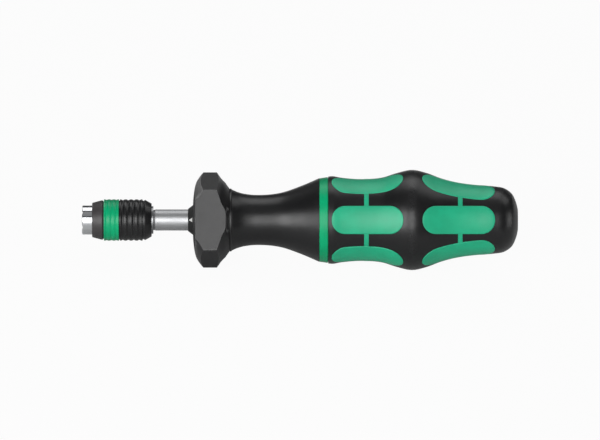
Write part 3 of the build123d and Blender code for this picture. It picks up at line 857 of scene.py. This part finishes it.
def collar_piece():
    """The collar: boss, dome, belt and back, cut by three wide and three narrow flats."""
    dome = outline_through(
        [
            (COLLAR_X, DOME_R),
            (39.56, 7.75),
            (39.85, 10.15),
            (WALL_X, 12.25),
            (40.72, 13.65),
            (41.67, 15.15),
            (BELT_X, BLANK_R),
        ],
        step=0.25,
        end=50,
    )
    back = outline_through(
        [(BELT_END, BLANK_R), (49.35, 14.95), (50.84, 13.3), (NECK_X, 11.25)],
        step=0.3,
    )
    boss = [(BOSS_X, SHAFT_BORE_R), (BOSS_X, BOSS_R)]
    socket = [(NECK_X, SPIGOT_R), (SPIGOT_X, SPIGOT_R), (SPIGOT_X, SHAFT_BORE_R)]
    mesh = turned(boss + dome + back + socket, steps=COLLAR_STEPS)
    for x in FINE_CUTS:
        cut_flat(mesh, (x * MM, 0, 0), (1, 0, 0))
    # Before the photographed flat the dome ends in a steep wall
    wall = [
        (WALL_X, 12.25),
        (40.36, 13.2),
        (40.42, 14.9),
        (40.5, 15.05),
        (41.34, 15.5),
        (41.8, 15.95),
        (BELT_X, BLANK_R),
    ]
    # Behind each wide flat the back ends in a small step
    step = [
        (BELT_END, BLANK_R),
        (49.13, 15.65),
        (50.17, 14.5),
        (51.1, 13.62),
        (51.2, 13.2),
        (51.3, 11.7),
        (51.6, 11.5),
        (NECK_X, 11.3),
    ]
    for vertex in mesh.verts:
        x, r, angle = polar(vertex)
        if r < SPIGOT_R + NEAR:
            continue
        if WALL_X < x < BELT_X:
            share = smooth_share((WALL_REACH - off_face(angle, 1, PHOTO_SIDE)) / WALL_FADE)
            set_radius(vertex, r + share * (radius_at(wall, x) - r))
        elif BELT_END < x < NECK_X:
            share = smooth_share((STEP_REACH - off_face(angle, 3, FACE_AT)) / STEP_FADE)
            set_radius(vertex, r + share * (radius_at(step, x) - r))
    for angle in range(FACE_AT, FACE_AT + 360, 60):
        distance = WIDE_FLAT if off_face(angle, 3, FACE_AT) < 1 else NARROW_FLAT
        side = Vector((0, cos(radians(angle)), sin(radians(angle))))
        edges = cut_flat(mesh, side * distance * MM, side, clear_outer=True)
        bmesh.ops.edgeloop_fill(mesh, edges=edges)
    close_up(mesh)
    return mesh


def index_mark():
    """The small pale triangle on the collar's boss that points to the tip."""
    mesh = bmesh.new()
    corners = ((MARK_X, 0, 0), (MARK_END, MARK_HALF, 0), (MARK_END, -MARK_HALF, 0))
    face = mesh.faces.new([mesh.verts.new(place) for place in corners])
    top = bmesh.ops.extrude_face_region(mesh, geom=[face])["geom"]
    bmesh.ops.translate(mesh, verts=vertices_of(top), vec=(0, 0, MARK_DEPTH))
    for across in MARK_CUTS:
        cut_flat(mesh, (0, across, 0), (0, 1, 0))
    for vertex in mesh.verts:
        x, across, height = vertex.co
        boss_r = BOSS_R + (x - BOSS_X) * (DOME_R - BOSS_R) / (COLLAR_X - BOSS_X)
        radius = boss_r - MARK_SUNK + height
        place_on_side(vertex, x, across, sqrt(radius**2 - across**2), PHOTO_SIDE)
    close_up(mesh)
    return mesh


def neck_piece():
    """The waisted neck with its thin front land, the spigot and its bores."""
    land = [(NECK_X, SPIGOT_R), (NECK_X, 10.95), (52.52, 11.2), (53.05, 11.2), (53.16, 10.98)]
    outside = outline_through(NECK, step=0.4)
    inside = [
        (ACCENT_X, 14.8),
        (ACCENT_X, HOUSING_R),
        (HOUSING_X, HOUSING_R),
        (HOUSING_X, BUSH_R),
        (SPIGOT_X, BUSH_R),
        (SPIGOT_X, SPIGOT_R),
    ]
    mesh = turned(land + outside + inside)
    for vertex in mesh.verts:
        x, r, angle = polar(vertex)
        if r > HOUSING_R + NEAR or (x > NECK_X + NEAR and r > OUTSIDE_R):
            set_radius(vertex, r * section_share(angle))
    return mesh


def accent_piece():
    """The green ring between neck and handle."""
    mesh = turned(
        [
            (ACCENT_X, HOUSING_R),
            (ACCENT_X, 14.7),
            (84.46, 14.85),
            (85.3, 14.97),
            (86.4, 15.13),
            (87.3, 15.27),
            (87.4, RING_LIP_R),
            (HANDLE_X, RING_LIP_R),
            (HANDLE_X, HOUSING_R),
        ]
    )
    flatten(mesh, HOUSING_R)
    return mesh


def handle_piece(outline):
    """The hard handle before its grips are let in."""
    outside = [(HANDLE_X, 15.3), (87.6, 15.46), *outline[1:]]
    chamfer = [(HANDLE_END, KEY_BORE_R + KEY_CHAMFER), (KEY_CHAMFER_X, KEY_BORE_R)]
    bore = [(BORE_END, KEY_BORE_R), (BORE_END, HOUSING_R), (HANDLE_X, HOUSING_R)]
    mesh = turned(outside + chamfer + bore)
    for vertex in mesh.verts:
        x, r, angle = polar(vertex)
        hollow = r < HOUSING_R + NEAR and x < HOLLOW_END
        if hollow or r < KEY_BORE_R + KEY_CHAMFER + NEAR:
            continue
        share = 1 - smooth_share((x - TAIL_X) / TAIL_LENGTH)
        set_radius(vertex, r * (1 + share * (section_share(angle) - 1)))
    return mesh


def grip_pads(outline, start, length, rise, depth, grow, rim):
    """Six pads with rounded corners, laid on the handle's faces. The first is modelled flat,
    in millimetres, and its copies are laid round the handle."""
    mesh = bmesh.new()
    bmesh.ops.create_grid(mesh, x_segments=1, y_segments=1, size=0.5)
    size = (length + 2 * grow, PAD_WIDTH + 2 * grow, 1)
    bmesh.ops.scale(mesh, vec=size, verts=mesh.verts)
    bmesh.ops.translate(mesh, vec=(start + length / 2, 0, -depth), verts=mesh.verts)
    bevel(mesh, mesh.verts[:], PAD_CORNER_R + grow, PAD_CORNER_STEPS, "VERTICES")
    top = bmesh.ops.extrude_face_region(mesh, geom=mesh.faces[:])["geom"]
    bmesh.ops.translate(mesh, verts=vertices_of(top), vec=(0, 0, depth + rise))
    if rim:
        edges = [e for e in mesh.edges if min(v.co.z for v in e.verts) > rise - NEAR]
        bevel(mesh, edges, rim, RIM_STEPS, "EDGES")
    for k in range(1, int(length / CUTS_ALONG)):
        cut_flat(mesh, (start + CUTS_ALONG * k, 0, 0), (1, 0, 0))
    for k in range(-CUTS_PER_SIDE, CUTS_PER_SIDE + 1):
        cut_flat(mesh, (0, CUTS_ACROSS * k, 0), (0, 1, 0))
    flat_pad = mesh.verts[:] + mesh.edges[:] + mesh.faces[:]
    for k in range(6):
        copy = bmesh.ops.duplicate(mesh, geom=flat_pad)["geom"]
        for vertex in vertices_of(copy):
            x, across, height = vertex.co
            surface = face_height(radius_at(outline, x), across)
            place_on_side(vertex, x, across, surface + height, FACE_AT + 60 * k)
    bmesh.ops.delete(mesh, geom=vertices_of(flat_pad), context="VERTS")
    close_up(mesh)
    return mesh


def grip_band(outline, middle, rise, depth, grow):
    """The thin band that joins a grip's pads."""
    half = BAND_WIDTH / 2 + grow
    places = [middle + half * k / 3 for k in range(-3, 4)]
    outer = [(x, radius_at(outline, x) + rise) for x in places]
    inner = [(x, radius_at(outline, x) - depth) for x in reversed(places)]
    mesh = turned(outer + inner)
    flatten(mesh, 0)
    return mesh


def grip_form(outline, name, place, rises, depth, grow=0.0, rim=0.0):
    """A whole soft grip, or the room that it needs in the handle. Its pads and its band
    each have their own rise over the handle."""
    start, length, middle = place
    grip = show(grip_pads(outline, start, length, rises[0], depth, grow, rim), name)
    band = show(grip_band(outline, middle, rises[1], depth - BAND_LIFT, grow), name + "_band")
    combine(grip, band, "UNION")
    return grip


def aim(thing, angle, distance, lean=0):
    """Puts a lamp or camera on one side of the screwdriver, facing it, with +X to its right.
    It may lean towards the tip, by degrees."""
    side = Vector((0, cos(radians(angle)), sin(radians(angle))))
    along = Vector((1, 0, 0))
    away = side * cos(radians(lean)) - along * sin(radians(lean))
    right = along * cos(radians(lean)) + side * sin(radians(lean))
    turn = Matrix((right, away.cross(right), away)).transposed().to_4x4()
    place = Vector((MIDDLE_X * MM, 0, 0)) + away * distance
    thing.matrix_world = Matrix.Translation(place) @ turn


def soft_light(name, angle, lean, long, high, brightness):
    """A soft box whose surface is this bright, where 1 is white."""
    data = bpy.data.lights.new(name, "AREA")
    data.shape = "RECTANGLE"
    data.size = long
    data.size_y = high
    data.energy = brightness * long * high * pi
    lamp = bpy.data.objects.new(name, data)
    bpy.context.scene.collection.objects.link(lamp)
    aim(lamp, angle, LAMP_DISTANCE, lean)


def lay_floor():
    """The floor that the collar and the bulge rest on."""
    mesh = bmesh.new()
    bmesh.ops.create_grid(mesh, x_segments=1, y_segments=1, size=FLOOR_SIZE)
    slope = Matrix.Rotation(asin((BULGE_LOW - WIDE_FLAT) / (BULGE_X - REST_X)), 3, "Y")
    bmesh.ops.rotate(mesh, cent=(0, 0, 0), matrix=slope, verts=mesh.verts)
    touch = (BULGE_X * MM, 0, -(BULGE_LOW + FLOOR_GAP) * MM)
    bmesh.ops.translate(mesh, vec=touch, verts=mesh.verts)
    floor = show(mesh, "floor")
    floor.data.materials.append(pale_floor("pale_floor"))


def place_camera(angle, width):
    """The camera: a long lens that faces one side and frames this width at the middle."""
    data = bpy.data.cameras.new("photo_camera")
    data.sensor_width = 36
    data.lens = 600
    data.clip_start = 0.1
    data.clip_end = 20
    camera = bpy.data.objects.new("photo_camera", data)
    bpy.context.scene.collection.objects.link(camera)
    aim(camera, angle, width * data.lens / data.sensor_width)
    bpy.context.scene.camera = camera


class StageOperator(bpy.types.Operator):
    """Sets up the floor, lamps, surroundings and camera"""

    bl_idname = "torque_driver.stage"
    bl_label = "Stage"

    def execute(self, context):
        studio = context.scene.torque_driver_studio
        lay_floor()
        front = 180 - degrees(studio.elevation)
        for softbox in (  # name, angle, lean, length, height and brightness
            ("front_softbox", front, 0, 0.45, 0.6, studio.front_light),
            ("near_side_softbox", front, 30, 0.4, 0.6, studio.front_light * 1.27),
            ("far_side_softbox", front, 47, 0.6, 0.5, studio.front_light * 0.48),
            ("low_softbox", front + 26, 0, 0.7, 0.35, studio.front_light * 0.18),
            ("right_softbox", front, -76, 0.4, 0.5, studio.front_light * 0.6),
            ("over_softbox", front - 50, 0, 0.8, 0.7, studio.top_light * 0.12),
            ("top_softbox", front - 98, 0, 0.66, 0.66, studio.top_light),
            ("top_right_softbox", front - 90, -35, 0.5, 0.6, studio.top_light * 0.8),
            ("rim_softbox", 6, 42, 0.42, 0.42, studio.top_light * 1.9),
        ):
            soft_light(*softbox)
        context.scene.world = plain_world("plain_world")
        place_camera(front, studio.frame_width)
        context.scene.view_settings.view_transform = "Standard"
        return {"FINISHED"}


class ChuckOperator(bpy.types.Operator):
    """Finishes the bright tip, the stop washer and the shank"""

    bl_idname = "torque_driver.chuck"
    bl_label = "Chuck and shank"

    def execute(self, context):
        refinish(polished_chrome("tip_chrome"), "chuck_body")
        bright, plain = opaque(186, 187, 189), opaque(150, 151, 153)
        shank = turned_steel(
            "shank_steel", bright, gloss=0.42, pitch=0.1, depth=0.002, stains=0.1
        )
        washer = turned_steel(
            "washer_steel", plain, gloss=0.3, pitch=0.1, depth=0.004, stains=0.2
        )
        refinish(shank, "spindle")
        refinish(washer, "stop_washer")
        return {"FINISHED"}


class SleeveOperator(bpy.types.Operator):
    """Builds the quick-release sleeve: cone, green ring and ribbed grip"""

    bl_idname = "torque_driver.sleeve"
    bl_label = "Sleeve"

    def execute(self, context):
        colours = context.scene.torque_driver_colours
        meshes = sleeve_pieces(context.scene.torque_driver_sizes)
        names = ("sleeve_cone", "sleeve_green_ring", "sleeve_ribbed_grip")
        cone, ring, grip = (show(mesh, name) for mesh, name in zip(meshes, names))
        black = moulded_plastic(
            "sleeve_black", colours.plastic, gloss=0.31, grain=0.012, wear_and_highlight=(7.28, RIB_R)
        )
        green = moulded_plastic(
            "sleeve_green", colours.accent, gloss=0.3, grain=0.012, shine=0.3
        )
        # Painted light: the cone's black plastic is made paler to brighten the highlight bands it
        # catches
        grey = moulded_plastic("cone_painted_lighter", colours.cone, gloss=0.42, grain=0.012)
        dress(cone, grey, "sleeve", "hard_plastic", "sleeve_front")
        dress(ring, green, "sleeve", "green_plastic", "sleeve_colour_ring")
        dress(grip, black, "sleeve", "hard_plastic", "sleeve_grip")
        return {"FINISHED"}


class CollarOperator(bpy.types.Operator):
    """Builds the faceted collar and its index mark"""

    bl_idname = "torque_driver.collar"
    bl_label = "Collar"

    def execute(self, context):
        colours = context.scene.torque_driver_colours
        black = moulded_plastic(
            "collar_black",
            colours.plastic,
            gloss=0.32,
            grain=0.02,
            wear_and_highlight=(16.6, 17.1),
            dull_to=DULL_X,
        )
        collar = show(collar_piece(), "faceted_collar")
        dress(collar, black, "handle", "hard_plastic", "anti_roll_collar", sharp=FACET_SHARP)
        mark = show(index_mark(), "index_mark")
        dress(mark, pressed_ink("index_ink"), "handle", "plain_steel")
        return {"FINISHED"}


class NeckOperator(bpy.types.Operator):
    """Builds the waisted neck and the green ring behind it"""

    bl_idname = "torque_driver.neck"
    bl_label = "Neck and green ring"

    def execute(self, context):
        colours = context.scene.torque_driver_colours
        black = moulded_plastic(
            "neck_black", colours.plastic, gloss=0.3, grain=0.016, wear_and_highlight=(14.6, 14.9)
        )
        green = moulded_plastic(
            "ring_green", colours.accent, gloss=0.3, grain=0.012, shine=0.25
        )
        neck = show(neck_piece(), "waisted_neck")
        dress(neck, black, "handle", "hard_plastic", "neck_housing")
        ring = show(accent_piece(), "green_ring")
        dress(ring, green, "handle", "green_plastic", "accent_ring")
        return {"FINISHED"}


class HandleOperator(bpy.types.Operator):
    """Builds the handle and the soft grips let into it"""

    bl_idname = "torque_driver.handle"
    bl_label = "Handle and grips"

    def execute(self, context):
        colours = context.scene.torque_driver_colours
        sizes = context.scene.torque_driver_sizes
        outline = outline_through(HANDLE, step=0.5)
        handle = show(handle_piece(outline), "handle_shell")
        rubber = soft_rubber("pad_rubber", colours.rubber)
        seam = sizes.pad_seam / MM
        rises = (sizes.pad_proud / MM, BAND_RISE)
        for node, place in GRIPS.items():
            room = grip_form(outline, node + "_room", place, ROOM_RISES, PAD_DEPTH + seam, seam)
            combine(handle, room, "DIFFERENCE")
            grip = grip_form(outline, node + "_pads", place, rises, PAD_DEPTH, rim=PAD_RIM)
            dress(grip, rubber, "handle", "green_rubber", node)
        black = moulded_plastic(
            "handle_black", colours.plastic, gloss=0.3, grain=0.016, wear_and_highlight=(17.6, 17.83)
        )
        dress(handle, black, "handle", "hard_plastic", "handle_core")
        return {"FINISHED"}


class WorksOperator(bpy.types.Operator):
    """Finishes the clutch, springs, balls, bushes and screw inside the handle and sleeve"""

    bl_idname = "torque_driver.works"
    bl_label = "Inner works"

    def execute(self, context):
        bright, plain, dark = opaque(180, 181, 184), opaque(160, 162, 166), opaque(128, 126, 126)
        ground = turned_steel("ground_steel", bright, gloss=0.24, pitch=0.1, depth=0.003)
        machined = turned_steel(
            "machined_steel", plain, gloss=0.3, pitch=0.2, depth=0.008, stains=0.5
        )
        hardened = turned_steel(
            "hardened_steel", dark, gloss=0.28, pitch=0.14, depth=0.004, stains=0.6
        )
        wire = drawn_wire("spring_wire", opaque(92, 92, 96))
        refinish(ground, "locking_ball_upper", "locking_ball_lower", "clutch_balls")
        refinish(ground, "thrust_washer")
        refinish(machined, "clutch_housing", "rear_plate", "lock_ring")
        refinish(machined, "adjusting_screw", "spring_nut")
        refinish(hardened, "drive_cam", "pressure_plate", "retaining_ring", "bit_pusher")
        spring_piece("main_spring", wire)
        spring_piece("sleeve_spring", wire)
        spring_piece("pusher_spring", wire)
        refinish(sintered_bronze("bush_bronze"), "front_bush", "rear_bush")
        return {"FINISHED"}


OPERATORS = (
    StageOperator,
    ChuckOperator,
    SleeveOperator,
    CollarOperator,
    NeckOperator,
    HandleOperator,
    WorksOperator,
)


class TorqueDriverPanel(bpy.types.Panel):
    """Lists the screwdriver's pieces, colours and sizes"""

    bl_idname = "VIEW3D_PT_torque_driver"
    bl_label = "Torque Driver"
    bl_space_type = "VIEW_3D"
    bl_region_type = "UI"
    bl_category = "Torque Driver"

    def draw(self, context):
        for group in GROUPS:
            values = getattr(context.scene, group)
            box = self.layout.box()
            for name in GROUPS[group].__annotations__:
                box.prop(values, name)
        for operator in OPERATORS:
            self.layout.operator(operator.bl_idname)


GROUPS = {
    "torque_driver_colours": TorqueDriverColours,
    "torque_driver_sizes": TorqueDriverSizes,
    "torque_driver_studio": TorqueDriverStudio,
}


def register():
    for group, kind in GROUPS.items():
        bpy.utils.register_class(kind)
        setattr(bpy.types.Scene, group, bpy.props.PointerProperty(type=kind))
    for kind in (*OPERATORS, TorqueDriverPanel):
        bpy.utils.register_class(kind)


def unregister():
    for kind in (TorqueDriverPanel, *reversed(OPERATORS)):
        bpy.utils.unregister_class(kind)
    for group, kind in reversed(GROUPS.items()):
        delattr(bpy.types.Scene, group)
        bpy.utils.unregister_class(kind)


def main():
    register()
    bpy.ops.torque_driver.stage()
    bpy.ops.torque_driver.chuck()
    bpy.ops.torque_driver.sleeve()
    bpy.ops.torque_driver.collar()
    bpy.ops.torque_driver.neck()
    bpy.ops.torque_driver.handle()
    bpy.ops.torque_driver.works()


if __name__ == "__main__":
    main()
